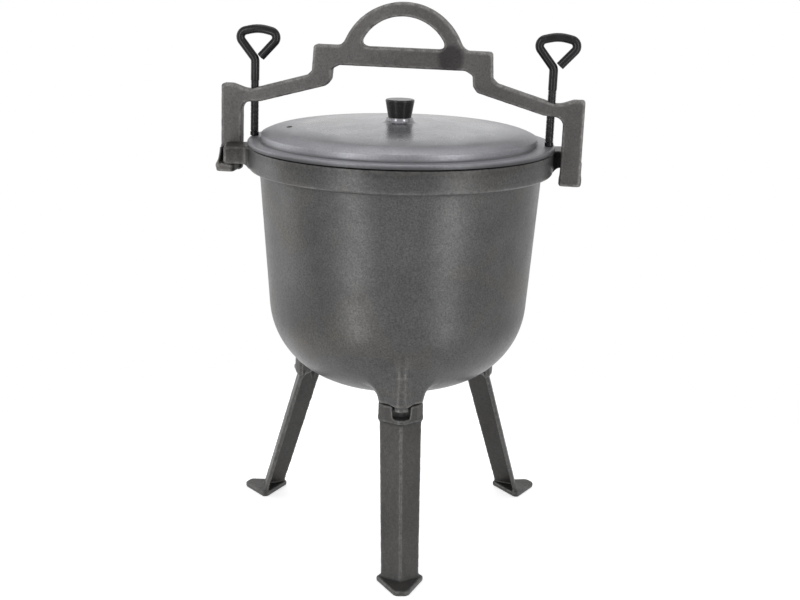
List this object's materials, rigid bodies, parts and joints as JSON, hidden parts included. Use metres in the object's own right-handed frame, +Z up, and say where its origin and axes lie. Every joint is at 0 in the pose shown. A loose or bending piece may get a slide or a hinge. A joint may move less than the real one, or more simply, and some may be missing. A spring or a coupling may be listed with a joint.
{
  "type": "cauldron",
  "caption": "Round-bottomed cast iron cooking pot on push-on angle legs, its lid held down by a turn-to-lock clamp bow with a carrying handle and loop-headed screws.",
  "frame": {"origin": "the point of the floor straight under the pot's middle, in the plane of the three soles", "axes": "+Z up along the pot's axis, -Y towards the front leg, +X towards the right lug"},
  "size_m": [0.3402, 0.314, 0.5031],
  "materials": {
    "pot_iron": "rough cast, oiled",
    "lid_iron": "smooth cast, oiled",
    "bow_iron": "rough cast, oiled",
    "leg_iron": "rough cast, oiled",
    "black_steel": "gloss black",
    "knob_black": "satin black"
  },
  "bodies": {
    "pot": {"pot": "pot_iron"},
    "lid": {"lid": "lid_iron", "knob": "knob_black", "knob_screw": "black_steel", "knob_screw_washer": "black_steel"},
    "bow": {"bow": "bow_iron"},
    "left_tip": {"left_screw_tip": "black_steel"},
    "left_screw": {"left_clamp_screw": "black_steel"},
    "right_tip": {"right_screw_tip": "black_steel"},
    "right_screw": {"right_clamp_screw": "black_steel"},
    "front_leg": {"front_leg": "leg_iron"},
    "left_leg": {"left_leg": "leg_iron"},
    "right_leg": {"right_leg": "leg_iron"}
  },
  "joints": [
    {"name": "lid_turn", "type": "hinge", "parent": "pot", "child": "lid", "pos_m": [0, 0, 0.372], "axis": [0, 0, 1], "continuous": true},
    {"name": "bow_turn", "type": "hinge", "parent": "pot", "child": "bow", "pos_m": [0, 0, 0.372], "axis": [0, 0, 1], "range_deg": [-25, 0]},
    {"name": "left_screw_travel", "type": "slide", "parent": "bow", "child": "left_tip", "axis": [0.0155, -0.0025, 0.9999], "range_m": [0, 0.02]},
    {"name": "left_screw_turn", "type": "hinge", "parent": "left_tip", "child": "left_screw", "pos_m": [-0.1364, 0.02234, 0.40217], "axis": [0.0155, -0.0025, 0.9999], "range_deg": [0, 5760]},
    {"name": "right_screw_travel", "type": "slide", "parent": "bow", "child": "right_tip", "axis": [0.0155, -0.0025, 0.9999], "range_m": [0, 0.02]},
    {"name": "right_screw_turn", "type": "hinge", "parent": "right_tip", "child": "right_screw", "pos_m": [0.13495, -0.0221, 0.39785], "axis": [0.0155, -0.0025, 0.9999], "range_deg": [0, 5760]},
    {"name": "front_leg_pull", "type": "slide", "parent": "pot", "child": "front_leg", "axis": [0, 0, -1], "range_m": [0, 0.025]},
    {"name": "left_leg_pull", "type": "slide", "parent": "pot", "child": "left_leg", "axis": [0, 0, -1], "range_m": [0, 0.025]},
    {"name": "right_leg_pull", "type": "slide", "parent": "pot", "child": "right_leg", "axis": [0, 0, -1], "range_m": [0, 0.025]}
  ],
  "couplings": [
    {"joint": "left_screw_travel", "follows": "left_screw_turn", "m_per_rad": 0.00019894},
    {"joint": "right_screw_travel", "follows": "right_screw_turn", "m_per_rad": 0.00019894}
  ]
}
